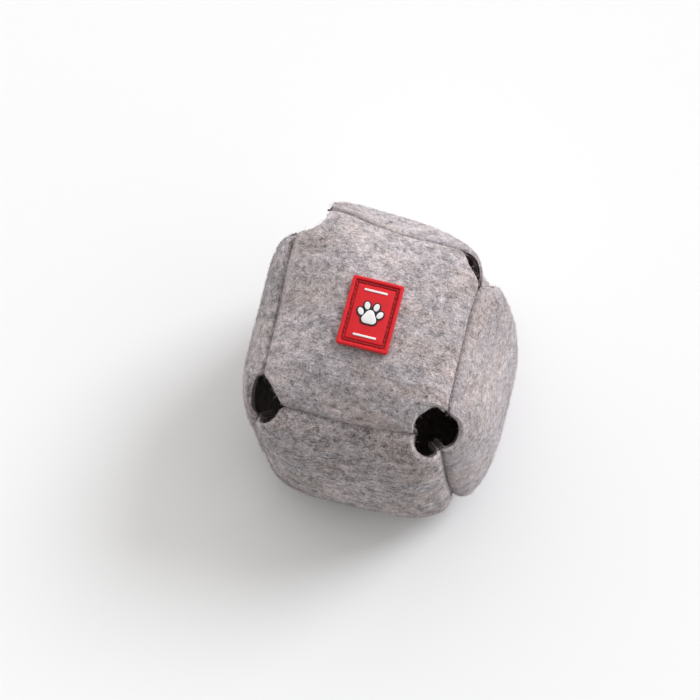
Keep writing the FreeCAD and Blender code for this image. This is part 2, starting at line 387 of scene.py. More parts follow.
# How deep a panel's corner is cut in past a straight line between its seams, as a share of HALF,
# and how square that cut is; corners are given by the signs of u and v
PLAIN_CUT = (0.12, 2.5)
CUTS = {
    "top": {(1, -1): (0.27, 3.5), (-1, -1): (0.10, 2.5), (1, 1): (0.08, 2.0), (-1, 1): (0.29, 2.5)},
    "front": {(1, 1): (0.23, 3.0), (-1, 1): (0.17, 3.0)},
    "right": {(-1, 1): (0.26, 3.0), (1, 1): (0.14, 2.5)},
    "left": {(1, 1): (0.14, 4.5), (-1, 1): (0.32, 3.0)},
    "back": {(1, 1): (0.27, 3.0), (-1, 1): (0.05, 2.5)},
}


def cut_in(name, u, v):
    """Draws the felt near each corner back towards the panel's middle.

    On the corner's cut the way back is half the depth times 1 - w ** power, with w running from 0
    at the cut's middle to 1 at its ends, and it eases to nothing over CUT_REACH behind the cut.
    """
    half_cut = 1 - SEAM_SHARE
    for sign_u in (-1, 1):
        for sign_v in (-1, 1):
            depth, power = CUTS.get(name, {}).get((sign_u, sign_v), PLAIN_CUT)
            a, b = sign_u * u, sign_v * v
            w = np.clip(np.abs(a - b) / half_cut, 0, 1)
            behind = smooth(a + b, 1 + SEAM_SHARE - CUT_REACH, 1 + SEAM_SHARE)
            back = depth / 2 * (1 - w ** power) * behind
            u = u - sign_u * back
            v = v - sign_v * back
    return u, v


def moved(points, centres, moves):
    """Adds moves that fade as a bell curve with distance from their centres.

    centres holds one array of distances, as a share of each move's reach, for every move.
    """
    for distance, move in zip(centres, moves):
        points = points + np.exp(-distance ** 2)[..., None] * np.asarray(move) * HALF
    return points


# How far the wool has closed up the groove of these seams
CLOSED_SEAMS = {("top", "back"): 2.2 * MM, ("top", "right"): 1.2 * MM}


def seam_lift(name, u, v):
    """How far a panel's edge stands out where the wool has closed up the groove of its seam."""
    right, up, out = (np.array(axis, float) for axis in PANEL_AXES[name])
    lift = np.zeros((*np.shape(u), 3))
    for pair, depth in CLOSED_SEAMS.items():
        if name in pair:
            towards = np.array(PANEL_AXES[pair[1 - pair.index(name)]][2], float)
            near = smooth(u * (right @ towards) + v * (up @ towards), LIFT_FROM, 1.0)
            lift += near[..., None] * depth * (out + towards) / math.sqrt(2)
    return lift


def felt_surface(name, u, v, shape):
    """A panel's outer surface as the finished ball has it."""
    u, v = cut_in(name, u, v)
    points = panel_point(name, u, v) + seam_lift(name, u, v)
    right, up, out = (np.array(axis, float) for axis in PANEL_AXES[name])
    own = PANEL_MOVES.get(name, [])
    reach = [np.hypot(u - m[0], v - m[1]) / m[2] for m in own]
    points = moved(points, reach, [m[3][0] * right + m[3][1] * up + m[3][2] * out for m in own])
    place = (points - CENTRE) / HALF
    reach = [np.linalg.norm(place - np.array(m[0]), axis=-1) / m[1] for m in BALL_MOVES]
    points = moved(points, reach, [m[2] for m in BALL_MOVES])
    points = lean(points, shape)
    points[..., 2] = np.maximum(points[..., 2], 0)
    return points


# Lumps of the felt: (share of its unevenness, size of a lump, seed); creases are drawn out sideways
LUMPS = ((0.55, 9 * MM, 10), (0.30, 4 * MM, 20), (0.15, 1.8 * MM, 30))
CREASES = (0.50, 3.5 * MM, 40)
CREASE_STRETCH = (0.4, 1, 1)


def build_panel(name, shape, material):
    """One felt panel: an octagon grid on its surface, made uneven, thick and soft at its edges."""
    length = PROFILE[name][3]
    reach = 1 + ALLOWANCE / (HALF * length)
    cut = 1 + SEAM_SHARE
    count = PANEL_LINES
    u, v = octagon_grid(count, reach, cut)
    outer = felt_surface(name, u, v, shape)
    arc = np.maximum(np.abs(u), np.abs(v))
    folded = smooth(arc, FOLD, FOLDED)
    normals = surface_normals(outer)
    number = list(PANEL_AXES).index(name)
    grain = sum(share * soft_noise(outer, size, seed + number) for share, size, seed in LUMPS)
    share, size, seed = CREASES
    grain = grain + share * soft_noise(outer * CREASE_STRETCH, size, seed + number)
    rough = shape.unevenness * grain * (1 - SMOOTHED * folded)
    if name == "bottom":
        rough = rough * smooth(outer[..., 2], 0, 2 * MM)
    outer = outer + normals * rough[..., None]
    cut_gap = (cut - np.abs(u) - np.abs(v)) * HALF / math.sqrt(2)
    end_gap = (reach - arc) * HALF * length
    gap = np.minimum(cut_gap, end_gap)
    thickness = (shape.felt * (1 - PRESSED * folded))[..., None]
    points, faces, loop = thick_sheet(outer, thickness, gap, shape.edge_round)
    flat = np.stack([u, v], axis=-1).reshape(-1, 2) * HALF * length + number * FLAT_APART
    rims = np.tile(flat[loop], (RIM_ROWS, 1)) + RIM_APART
    # Painted shade: the turned-in felt darkens towards the inner tint just past the seam line, the inner
    # face is darkened fully, and the cut edges from 0.1 to 0.8 towards the inner face
    turned_in_shade = smooth(arc, 1.0, 1.06).ravel()
    deep = np.linspace(0.1, 0.8, RIM_ROWS)[:, None]
    inner = np.concatenate([turned_in_shade, np.ones(turned_in_shade.size),
                            np.maximum(turned_in_shade[loop], deep).ravel()])
    piece = new_piece("felt_" + name, points, faces, material,
                      np.concatenate([flat, flat + INNER_APART, rims]),
                      {"inner": inner, "flecks": FLECK_STRENGTH_BY_LIGHT[name]})
    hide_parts(name + "_panel")
    return piece


# ---------------------------------------------------------------- stray fibres on the felt

FIBRE_SLOPES = ((0.15, 0.7), (-0.5, 0.3))   # least and most slope of a fibre's two halves
FIBRE_TURN = 0.8        # spread of the turn between its halves, in radians
FIBRE_TAPER = (1.0, 0.8, 0.4)       # its thickness at its root, its bend and its tip
FIBRE_TONES_AND_GLOW = (-1.0, 0.3)           # its palest and darkest tone, as the felt reads inner: random per fibre, paler on average as painted glow of light through the fibres
FIBRE_DEPTH = 0.2 * MM  # its root lies this far under the felt's surface
FIBRE_LENGTHS = (0.5, 1.4)          # least and most length, as a share of the mean


def fibre_roots(count, cut, draw):
    """Random u and v all over a panel's octagon: of an even spread, the first count inside it."""
    even = draw.uniform(-0.99, 0.99, (2, 3 * count))
    return even[:, np.abs(even).sum(axis=0) < cut][:, :count]


def build_fuzz(name, shape, material):
    """Stray fibres that stand off one panel: thin three-sided tubes, bent once and tapered.

    A fibre starts just under the felt and leaves it at a random slope. Its second half leans
    over by a random turn, so that most fibres lie along the felt.
    """
    number = list(PANEL_AXES).index(name)
    draw = np.random.default_rng(60 + number)
    count = shape.fibres
    u, v = fibre_roots(count, 1 + SEAM_SHARE, draw)
    step = 0.004
    root = felt_surface(name, u, v, shape)
    along = unit(felt_surface(name, u + step, v, shape) - root)
    out = unit(np.cross(along, felt_surface(name, u, v + step, shape) - root))
    side = np.cross(out, along)
    size = len(u)
    length = shape.fibre * draw.uniform(*FIBRE_LENGTHS, size)[:, None]
    turn = draw.uniform(0, 2 * math.pi, size)
    gap = (1 + SEAM_SHARE - np.abs(u) - np.abs(v)) * HALF / math.sqrt(2)
    near = np.clip(1 - gap / shape.edge_round, 0, 1)
    sunk = FIBRE_DEPTH + shape.edge_round * (1 - np.sqrt(1 - near ** 2))
    line = [root - out * sunk[:, None]]
    heading = []
    slopes = [draw.uniform(least, most, size) for least, most in FIBRE_SLOPES]
    for slope, bend in zip(slopes, (0, FIBRE_TURN)):
        turn = turn + bend * draw.normal(0, 1, size)
        flat_way = along * np.cos(turn)[:, None] + side * np.sin(turn)[:, None]
        way = flat_way * np.cos(slope)[:, None] + out * np.sin(slope)[:, None]
        heading.append(way)
        line.append(line[-1] + way * length / 2)
    heading = [heading[0], unit(heading[0] + heading[1]), heading[1]]
    angle = np.arange(3) * 2 * math.pi / 3
    rings = []
    for middle, way, thin in zip(line, heading, FIBRE_TAPER):
        first = unit(np.cross(way, out + 0.01 * side))[:, None]
        second = np.cross(way[:, None], first)
        spoke = first * np.cos(angle)[:, None] + second * np.sin(angle)[:, None]
        rings.append(middle[:, None] + spoke * thin * shape.fibre_thick / 2)
    points = np.stack(rings, axis=1).reshape(-1, 3)
    points[:, 2] = np.maximum(points[:, 2], 0)
    each = len(points) // size
    walls = quads(3, 3, wrap=True)[:, ::-1]
    ends = np.array([[0, 2, 1], [6, 7, 8]])
    start = each * np.arange(size)[:, None, None]
    faces = [(walls[None] + start).reshape(-1, 4), (ends[None] + start).reshape(-1, 3)]
    flat = np.stack([u, v], axis=-1) * HALF * PROFILE[name][3] + number * FLAT_APART
    # A random tone per fibre, paler on average as painted glow of light through the fibres
    tone = draw.uniform(*FIBRE_TONES_AND_GLOW, size)
    return new_piece("fuzz_" + name, points, faces, material, np.repeat(flat, each, axis=0),
                     {"inner": np.repeat(tone, each), "flecks": FLECK_STRENGTH_BY_LIGHT[name]})


# ---------------------------------------------------------------- the sewing thread in the seams

SEWN_IN = 4.6 * MM      # the row of stitches lies this far in from the seam line
SEWN_END = 0.56         # its half length, as a share of HALF
SEWN_STITCHES = 15      # stitches in a row
SEWN_STEPS = 8          # steps along each stitch
SEWN_OUT = 0.75         # thickness of the pressed felt that the thread lies on, as a share of felt
PLY_DEPTH = 0.13        # depth of the twist between a thread's two plies
SEAM_TWIST, BADGE_TWIST = 500, 600      # twists to the metre of the two threads


def inner_row(name, other, along, shape):
    """Points on the inner face of a panel's turned-in felt, and the direction out of that face.

    They lie SEWN_IN from the seam line, and along runs along the seam.
    """
    right, up, _ = (np.array(axis, float) for axis in PANEL_AXES[name])
    towards = np.array(PANEL_AXES[other][2], float)
    length = PROFILE[name][3]
    across = 1 + (SEWN_IN + np.array([-0.5, 0, 0.5]) * MM) / (HALF * length)
    seam = np.abs(np.cross(PANEL_AXES[name][2], towards))
    if abs(right @ towards) > 0.5:
        u, v = np.meshgrid(np.sign(right @ towards) * across, along * np.sign(up @ seam), indexing="ij")
    else:
        v, u = np.meshgrid(np.sign(up @ towards) * across, along * np.sign(right @ seam), indexing="ij")
    points = felt_surface(name, u, v, shape)
    normals = surface_normals(points)[1]
    out = np.array(PANEL_AXES[name][2], float) - towards
    normals = normals * np.sign(normals @ out)[:, None]
    return points[1] + normals * shape.felt * SEWN_OUT, normals


def ply(path, radius, sides, twists):
    """Radius of each point of a two-ply thread: two lobes that wind round it, twists times a metre."""
    run = np.concatenate([[0], np.cumsum(np.linalg.norm(np.diff(path, axis=0), axis=1))])
    angle = np.arange(sides) * 2 * math.pi / sides
    return radius * (1 + PLY_DEPTH * np.cos(2 * (angle[None, :] - 2 * math.pi * twists * run[:, None])))


def build_seam_thread(node, shape, material):
    """A row of lockstitch through both layers of a seam.

    Each face of the seam carries stitches that rise out of it and sink back, and where they sink
    a thread goes through to the other face.
    """
    first, second = node.replace("seam_thread_", "").split("_")
    radius = shape.thread / 2
    along = np.linspace(-SEWN_END, SEWN_END, SEWN_STITCHES * SEWN_STEPS + 1)
    lift = np.abs(np.sin(np.linspace(0, SEWN_STITCHES * math.pi, len(along))))
    parts = []
    needle = []
    for name, other in ((first, second), (second, first)):
        points, normals = inner_row(name, other, along, shape)
        path = points + normals * (radius * (1.3 * lift - 0.4))[:, None]
        parts.append(tube(path, ply(path, radius, 10, SEAM_TWIST), 10, up=normals[0]))
        needle.append(path[::SEWN_STEPS])
    for a, b in zip(*needle):
        path = a + (b - a) * np.linspace(0, 1, 5)[:, None]
        parts.append(tube(path, radius, 6, up=(1, 0.3, 0.2)))
    points, faces = joined(parts)
    piece = new_piece("sewing_" + first + "_" + second, points, faces, material, None)
    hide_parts(node)
    return piece


# ---------------------------------------------------------------- the badge

BADGE_SAG = 0.25 * MM   # how far the middles of the badge's edges are pulled down
EDGE_SOFT = 0.3 * MM    # radius of the plate's softened edges
PAW_SOFT = 0.16 * MM    # radius of the paw's softened edges
PAW_BORDER = 0.6 * MM   # how far the dark backing shows round the paw
SUNK = 0.05 * MM        # raised shapes start this far below what carries them
RULE_WIDTH = 0.9 * MM
LEAST_CORNER = 0.35 * MM    # least radius of a corner of the plate's rings
STITCH_END = 0.03       # a badge stitch starts and ends this share of its length inside its holes
STITCH_WANDER = 0.12 * MM   # spread of the places of its ends
STITCH_SUNK = 0.5 * MM  # its ends lie this far under the groove's floor
# The paw at a width of PAW_WIDTH, in millimetres: its pad, and its toes as angles and distances
PAW_WIDTH = 13.0
PAD = ((0, -2.0), 3.25, 0.14)       # middle, radius, and depth of its three lobes
TOES = ((-64, 5.0), (-22, 5.8), (22, 5.8), (64, 5.0))
TOE_LENGTH, TOE_WIDTH = 1.85, 1.28  # halves of a toe's length and width


def badge_frame(shape):
    """The badge's middle on the felt and its three axes, as the top panel carries it."""
    low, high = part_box("badge_plate")
    x, y = (low[0] + high[0]) / 2 / HALF, (low[1] + high[1]) / 2 / HALF
    t, across = PROFILE["top"][:2]
    middle = t < 0.6
    u = np.sign(x) * np.interp(abs(x), across[middle], t[middle])
    v = np.sign(y) * np.interp(abs(y), across[middle], t[middle])
    step = 0.05
    grid_u, grid_v = np.meshgrid(u + np.array([-step, 0, step]), v + np.array([-step, 0, step]),
                                 indexing="ij")
    points = felt_surface("top", grid_u, grid_v, shape)
    out = surface_normals(points)[1, 1]
    right = unit(points[2, 1] - points[0, 1])
    right = unit(right - out * (right @ out))
    return points[1, 1], right, np.cross(out, right), out


def on_badge(points, shape):
    """Takes points from the badge's own frame to the ball; its edges are pulled down a little."""
    middle, right, up, out = badge_frame(shape)
    low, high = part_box("badge_plate")
    width, height = high[0] - low[0], high[1] - low[1]
    sag = BADGE_SAG * ((2 * points[..., 0] / width) ** 2 + (2 * points[..., 1] / height) ** 2)
    x, y, z = points[..., 0, None], points[..., 1, None], (points[..., 2] - sag)[..., None]
    return middle + x * right + y * up + z * out


def rounded_ring(half_w, half_h, radius, arc=6, straight=8):
    """A rounded rectangle as a closed ring of points, each side cut into a few equal lengths."""
    turn = np.linspace(0, math.pi / 2, arc)
    ring = []
    for quarter in range(4):
        a = turn + quarter * math.pi / 2
        sign = np.array([[1, 1], [-1, 1], [-1, -1], [1, -1]][quarter])
        centre = sign * (np.array([half_w, half_h]) - radius)
        corner = centre + radius * np.stack([np.cos(a), np.sin(a)], axis=-1)
        ring.append(corner)
    points = []
    for here, there in zip(ring, ring[1:] + ring[:1]):
        points.append(here)
        share = np.linspace(0, 1, straight + 1)[1:-1, None]
        points.append(here[-1] + (there[0] - here[-1]) * share)
    return np.concatenate(points)


def capped_rings(rings):
    """A closed shape from a stack of rings of equal count, with a pole in the first and the last."""
    rows, columns = len(rings), rings[0].shape[0]
    points = np.concatenate(list(rings) + [rings[0].mean(axis=0)[None], rings[-1].mean(axis=0)[None]])
    faces = quads(rows, columns, wrap=True)[:, ::-1]
    first = np.arange(columns)
    last = (rows - 1) * columns + first
    size = rows * columns
    caps = np.concatenate([
        np.stack([np.full(columns, size), np.roll(first, -1), first], axis=-1),
        np.stack([np.full(columns, size + 1), last, np.roll(last, -1)], axis=-1)])
    return points, [faces, caps]


def build_badge_plate(shape, badge, material):
    """The moulded plate: one cross-section carried round a rounded rectangle, from pole to pole."""
    half_w, half_h = badge.width / 2, badge.height / 2
    rim, groove = badge.rim, badge.groove
    top, field, floor = badge.rim_top, badge.field_top, badge.groove_top
    soft = EDGE_SOFT
    inside = rim + groove
    # Each ring's distance in from the plate's outline, and its height: underside, rim, groove, field
    section = [
        (half_w * 0.9, 0.05 * MM), (half_w * 0.4, 0.05 * MM), (0.6 * MM, 0.02 * MM), (0.1 * MM, 0.02 * MM),
        (0, 0.15 * MM), (0, top - 2 * soft), (0.3 * soft, top - 0.8 * soft), (soft, top - 0.2 * soft),
        (1.8 * soft, top), (rim - 1.6 * soft, top), (rim - 0.7 * soft, top - 0.3 * soft),
        (rim - 0.2 * soft, top - soft), (rim, floor + soft), (rim + 0.5 * soft, floor + 0.2 * soft),
        (rim + soft, floor), (inside - soft, floor), (inside - 0.3 * soft, floor + 0.2 * soft),
        (inside, floor + 0.8 * soft), (inside + 0.1 * soft, field - 0.7 * soft),
        (inside + 0.5 * soft, field - 0.2 * soft), (inside + 1.3 * soft, field),
        (inside + 0.25 * half_w, field + 0.04 * MM), (half_w * 0.9, field + 0.06 * MM),
    ]
    rings = []
    for inset, z in section:
        radius = max(badge.corner - inset, LEAST_CORNER)
        ring = rounded_ring(half_w - inset, half_h - inset, min(radius, half_w - inset))
        rings.append(np.column_stack([ring, np.full(len(ring), z)]))
    points, faces = capped_rings(rings)
    piece = new_piece("badge_body", on_badge(points, shape), faces, material, points[:, :2])
    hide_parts("badge_plate")
    return piece


def build_badge_stitches(shape, badge, material):
    """The badge's stitches: short arched threads in its groove, and as many under the felt."""
    inset = badge.rim + badge.groove / 2
    half_w, half_h = badge.width / 2 - inset, badge.height / 2 - inset
    radius = badge.thread / 2
    draw = np.random.default_rng(7)
    share = np.linspace(0, 1, 11)
    arch = np.sqrt(np.clip(1 - (2 * share - 1) ** 4, 0, 1))
    parts = []
    corners = np.array([[-half_w, -half_h], [half_w, -half_h], [half_w, half_h], [-half_w, half_h]])
    for here, there in zip(corners, np.roll(corners, -1, axis=0)):
        run = np.linalg.norm(there - here)
        count = round(run / badge.pitch)
        for k in range(count):
            a = here + (there - here) * (k + STITCH_END) / count
            b = here + (there - here) * (k + 1 - STITCH_END) / count
            wander = draw.normal(0, STITCH_WANDER, (2, 2))
            start, end = a + wander[0], b + wander[1]
            line = start + (end - start) * share[:, None]
            over = badge.groove_top - STITCH_SUNK + (STITCH_SUNK + 1.1 * radius) * arch
            path = np.column_stack([line, over])
            parts.append(tube(path, ply(path, radius, 10, BADGE_TWIST), 10))
            under = -shape.felt - radius * 0.8 * arch
            parts.append(tube(np.column_stack([line, under]), radius, 6))
    points, faces = joined(parts)
    piece = new_piece("badge_sewing", on_badge(points, shape), faces, material, None)
    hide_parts("badge_stitches")
    return piece


def paw_shapes():
    """The paw's pad and toes, each as (middle, half length, half width, turn, lobes)."""
    low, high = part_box("badge_paw")
    scale = (high[0] - low[0]) / PAW_WIDTH
    middle, radius, lobes = PAD
    shapes = [(np.array(middle) * scale, radius * scale, radius * scale, 0.0, lobes)]
    for spread, reach in TOES:
        out = math.radians(90 - spread)
        toe = (reach * math.cos(out), middle[1] + reach * math.sin(out))
        shapes.append((np.array(toe) * scale, TOE_LENGTH * scale, TOE_WIDTH * scale,
                       math.radians(90 - spread / 2), 0.0))
    return shapes


def paw_ring(shape_row, grow, angle):
    """The outline of a pad or toe, grown by grow: an ellipse, or a circle with three soft lobes."""
    middle, a, b, turn, lobes = shape_row
    ring_x = (a + grow) * np.cos(angle) * (1 - lobes * np.sin(3 * angle))
    ring_y = (b + grow) * np.sin(angle) * (1 - lobes * np.sin(3 * angle))
    x = middle[0] + ring_x * math.cos(turn) - ring_y * math.sin(turn)
    y = middle[1] + ring_x * math.sin(turn) + ring_y * math.cos(turn)
    return np.stack([x, y], axis=-1)


def pillow(outline, bottom, top, soft):
    """A raised shape from its outline: rings drawn in towards its middle over a rounded edge."""
    middle = outline.mean(axis=0)
    size = np.linalg.norm(outline - middle, axis=1).mean()
    steps = [(0.5 * size, bottom), (0.0, bottom), (0.0, top - soft), (0.3 * soft, top - 0.35 * soft),
             (soft, top - 0.08 * soft), (0.45 * size, top + 0.15 * soft), (0.8 * size, top + 0.22 * soft)]
    rings = []
    for inset, z in steps:
        ring = middle + (outline - middle) * (1 - inset / size)
        rings.append(np.column_stack([ring, np.full(len(ring), z)]))
    return capped_rings(rings)


def rule_bar(length, away, field):
    """A short raised bar across the badge, away from its middle, with softened upper edges."""
    radius = RULE_WIDTH * 0.45
    rings = []
    for inset, rise in ((0.3 * MM, -SUNK), (0, -SUNK), (0, 0.3 * MM), (0.06 * MM, 0.4 * MM),
                        (0.16 * MM, 0.44 * MM)):
        ring = rounded_ring(length / 2 - inset, RULE_WIDTH / 2 - inset, radius - inset, 6, 5)
        rings.append(np.column_stack([ring + np.array([0, away]), np.full(len(ring), field + rise)]))
    return capped_rings(rings)


def build_badge_motif(shape, badge, white, dark):
    """The raised paw print on its dark backing, and the two rules above and below it."""
    field = badge.field_top
    base = field + badge.backing
    top = base + badge.motif
    angle = np.linspace(0, 2 * math.pi, 48, endpoint=False)
    paw = joined([pillow(paw_ring(row, 0, angle), base - SUNK, top, PAW_SOFT) for row in paw_shapes()])
    fine = np.linspace(0, 2 * math.pi, 240, endpoint=False)
    outline = backing_outline(np.array([0.0, 0.4 * MM]), fine)
    backing = pillow(outline, field - SUNK, base, 0.1 * MM)
    low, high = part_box("badge_rules")
    away = (high[1] - low[1] - RULE_WIDTH) / 2
    rules = joined([rule_bar(high[0] - low[0], side * away, field) for side in (-1, 1)])
    for name, (points, faces), material, slot, node in (
            ("paw_print", paw, white, "badge_white", "badge_paw"),
            ("paw_backing", backing, dark, "badge_dark", "badge_paw_backing"),
            ("rule_bars", rules, white, "badge_white", "badge_rules")):
        piece = new_piece(name, on_badge(points, shape), faces, material, points[:, :2])
        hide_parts(node)


def backing_outline(centre, angle):
    """Outline round the whole paw: in every direction, the farthest point of its grown shapes."""
    reach = np.zeros(len(angle))
    for row in paw_shapes():
        ring = paw_ring(row, PAW_BORDER, np.linspace(0, 2 * math.pi, 720, endpoint=False)) - centre
        away = np.hypot(ring[:, 0], ring[:, 1])
        towards = np.mod(np.arctan2(ring[:, 1], ring[:, 0]), 2 * math.pi)
        nearest = np.round(towards / (2 * math.pi) * len(angle)).astype(int) % len(angle)
        np.maximum.at(reach, nearest, away)
    kernel = np.ones(5) / 5
    reach = np.convolve(np.concatenate([reach[-2:], reach, reach[:2]]), kernel, "valid")
    return centre + reach[:, None] * np.stack([np.cos(angle), np.sin(angle)], axis=-1)


# ---------------------------------------------------------------- materials

def shader(name, **values):
    """A new material's node tree and its main shader, with plain values on the shader's sockets."""
    material = bpy.data.materials.new(name)
    material.use_nodes = True
    tree = material.node_tree
    main = tree.nodes["Principled BSDF"]
    for socket, value in values.items():
        main.inputs[socket.replace("_", " ")].default_value = value
    return material, tree, main


def put(tree, kind, values=None, **settings):
    """Adds a node, sets its settings, and fills or links its inputs by name or number."""
    made = tree.nodes.new("ShaderNode" + kind)
    for setting, value in settings.items():
        setattr(made, setting, value)
    for socket, value in (values or {}).items():
        if isinstance(value, bpy.types.NodeSocket):
            tree.links.new(value, made.inputs[socket])
        else:
            made.inputs[socket].default_value = value
    return made


def noise(tree, place, scale, detail, roughness):
    """Noise on place, with scale in cells to the metre."""
    made = put(tree, "TexNoise", {"Vector": place, "Scale": scale, "Detail": detail,
                                  "Roughness": roughness})
    return made.outputs["Fac"]


def ramp(tree, value, stops):
    """Colours by value; stops are (place, colour)."""
    made = put(tree, "ValToRGB", {"Fac": value})
    for _ in stops[2:]:
        made.color_ramp.elements.new(0.5)
    for element, (place, colour) in zip(made.color_ramp.elements, stops):
        element.position = place
        element.color = (*colour, 1)
    return made.outputs["Color"]


def span(tree, value, low, high, out_low=0.0, out_high=1.0):
    """Takes low..high to out_low..out_high and holds the rest at the ends."""
    made = put(tree, "MapRange", {"Value": value, "From Min": low, "From Max": high,
                                  "To Min": out_low, "To Max": out_high})
    return made.outputs["Result"]


def mixed(tree, share, a, b, blend="MIX"):
    """Two colours mixed by share."""
    return put(tree, "Mix", {0: share, 6: a, 7: b}, data_type="RGBA", blend_type=blend).outputs[2]


def math_of(tree, operation, *values):
    """One step of arithmetic on values."""
    return put(tree, "Math", dict(enumerate(values)), operation=operation).outputs[0]


def sum_of(tree, a, b, weight):
    """a + b * weight."""
    return math_of(tree, "MULTIPLY_ADD", b, weight, a)


def shaded(colour, share):
    """A colour times share."""
    return tuple(min(1.0, c * share) for c in colour)


def bumpy(tree, main, height, strength, distance):
    """Gives the main shader a bump."""
    bump = put(tree, "Bump", {"Strength": strength, "Distance": distance, "Height": height})
    tree.links.new(bump.outputs[0], main.inputs["Normal"])


# The noises that make the felt's flecks: (direction, cells to the metre, detail, weight)
FLECK_NOISES = (("along", 1400, 2, 0.8), ("across", 1400, 2, 0.6), ("along", 420, 2, 0.65),
                ("all round", 700, 2, 0.8), ("all round", 260, 1, 0.6), ("all round", 110, 1, 0.35))
# The felt's shades from its darkest fleck to its palest: (place, share of its colour)
FLECK_SHADES = ((0.0, 0.30), (0.30, 0.70), (0.50, 1.0), (0.70, 1.30), (1.0, 1.75))
FLECK_RANGE = (1.89, 2.93)          # what the noises' sum is at those two ends
FIBRE_DRAW = (0.33, 1.0, 1.0)       # fibres are drawn out three to one
FIBRE_CROSSING = math.radians(65)   # angle between the two directions of fibres


def tinted(tree, share, colour, tint):
    """A colour, and by share that colour times a tint."""
    return mixed(tree, share, colour, mixed(tree, 1.0, colour, (*tint, 1), "MULTIPLY"))


def felt_material(felt):
    """Wool felt: wavy fibres in clumps, tints in patches, dark specks, and a hairy bump.

    The fibres are noise on the flat pattern, drawn out along two directions after a slower noise
    has bent them. The inner face is darkened with painted shade, the stray fibres are made paler
    partly with painted glow, and flecks says how strong the flecks are, set per panel to follow the light.
    """
    material, tree, main = shader("wool_felt", Roughness=1.0, Specular_IOR_Level=0.15,
                                  Sheen_Weight=0.25, Sheen_Roughness=0.6)
    place = put(tree, "TexCoord").outputs["Object"]
    flat = put(tree, "UVMap", uv_map="flat_pattern").outputs["UV"]
    bend = put(tree, "TexNoise", {"Vector": flat, "Scale": 260.0, "Detail": 2.0}).outputs["Color"]
    bent = put(tree, "VectorMath", {0: bend, 1: (felt.fibre_bend,) * 3, 2: flat},
               operation="MULTIPLY_ADD").outputs[0]
    along = put(tree, "Mapping", {"Vector": bent, "Scale": FIBRE_DRAW}).outputs[0]
    across = put(tree, "Mapping", {"Vector": bent, "Rotation": (0, 0, FIBRE_CROSSING),
                                   "Scale": FIBRE_DRAW}).outputs[0]
    vectors = {"along": along, "across": across, "all round": place}
    tone = noise(tree, place, 1500, 2, 0.65)
    for direction, scale, detail, weight in FLECK_NOISES:
        tone = sum_of(tree, tone, noise(tree, vectors[direction], scale, detail, 0.6), weight)
    # Per-panel fleck strength, painted to follow the light: stronger on shaded panels, weaker on lit ones
    flecks = put(tree, "Attribute", attribute_name="flecks").outputs["Fac"]
    tone = math_of(tree, "MULTIPLY_ADD", math_of(tree, "SUBTRACT", tone, FLECK_MEAN), flecks, FLECK_MEAN)
    colour = ramp(tree, span(tree, tone, *FLECK_RANGE),
                  [(at, shaded(felt.colour, share)) for at, share in FLECK_SHADES])
    colour = tinted(tree, span(tree, noise(tree, along, 95, 2, 0.5), 0.48, 0.62), colour, felt.warm)
    colour = tinted(tree, span(tree, noise(tree, across, 85, 2, 0.5), 0.48, 0.62), colour, felt.cool)
    specks = span(tree, noise(tree, along, 900, 2, 0.6), 0.64, 0.74)
    colour = tinted(tree, specks, colour, felt.speck)
    wide = span(tree, noise(tree, place, 34, 2, 0.5), 0.3, 0.7, 0.93, 1.06)
    # Painted shade: the inner face, turned-in felt and cut edges darken towards the inner tint; painted
    # glow: stray fibres read inner below 0 and are made paler
    inner = put(tree, "Attribute", attribute_name="inner").outputs["Fac"]
    colour = tinted(tree, span(tree, inner, 0, 1), colour, felt.inner_painted_shade)
    shade = math_of(tree, "MULTIPLY", wide, span(tree, inner, -1, 0, felt.fibre_tone_and_glow, 1.0))
    shade_colour = put(tree, "CombineColor", {0: shade, 1: shade, 2: shade}).outputs[0]
    colour = mixed(tree, 1.0, colour, shade_colour, "MULTIPLY")
    tree.links.new(colour, main.inputs["Base Color"])
    bumpy(tree, main, tone, 0.55, 0.5 * MM)
    return material


def thread_material(name, colour, sheen):
    """Spun thread: fine streaks along it, a soft sheen and a fine bump."""
    material, tree, main = shader(name, Roughness=0.7, Sheen_Weight=sheen, Sheen_Roughness=0.4)
    place = put(tree, "TexCoord").outputs["Object"]
    fine = noise(tree, place, 2600, 2, 0.6)
    tree.links.new(ramp(tree, fine, [(0.3, shaded(colour, 0.72)), (0.7, shaded(colour, 1.2))]),
                   main.inputs["Base Color"])
    bumpy(tree, main, fine, 0.4, 0.1 * MM)
    return material


def vinyl_material(name, colour, roughness=0.42):
    """Soft moulded vinyl: a slightly uneven colour, a fine satin grain and a soft gloss."""
    material, tree, main = shader(name, Specular_IOR_Level=0.3)
    place = put(tree, "TexCoord").outputs["Object"]
    cloud = noise(tree, place, 260, 3, 0.6)
    tree.links.new(ramp(tree, cloud, [(0.3, shaded(colour, 0.93)), (0.7, shaded(colour, 1.06))]),
                   main.inputs["Base Color"])
    tree.links.new(span(tree, noise(tree, place, 900, 2, 0.6), 0.3, 0.7, roughness - 0.06,
                        roughness + 0.08), main.inputs["Roughness"])
    bumpy(tree, main, noise(tree, place, 4200, 2, 0.5), 0.18, 0.08 * MM)
    return material


SEEN_WHITE = 0.95       # strength of the world where it is seen
FLOOR_REACH = 30.0      # from the floor's middle to its edges
CAMERA_AWAY = 20        # from the ball's middle to the camera, as a share of HALF


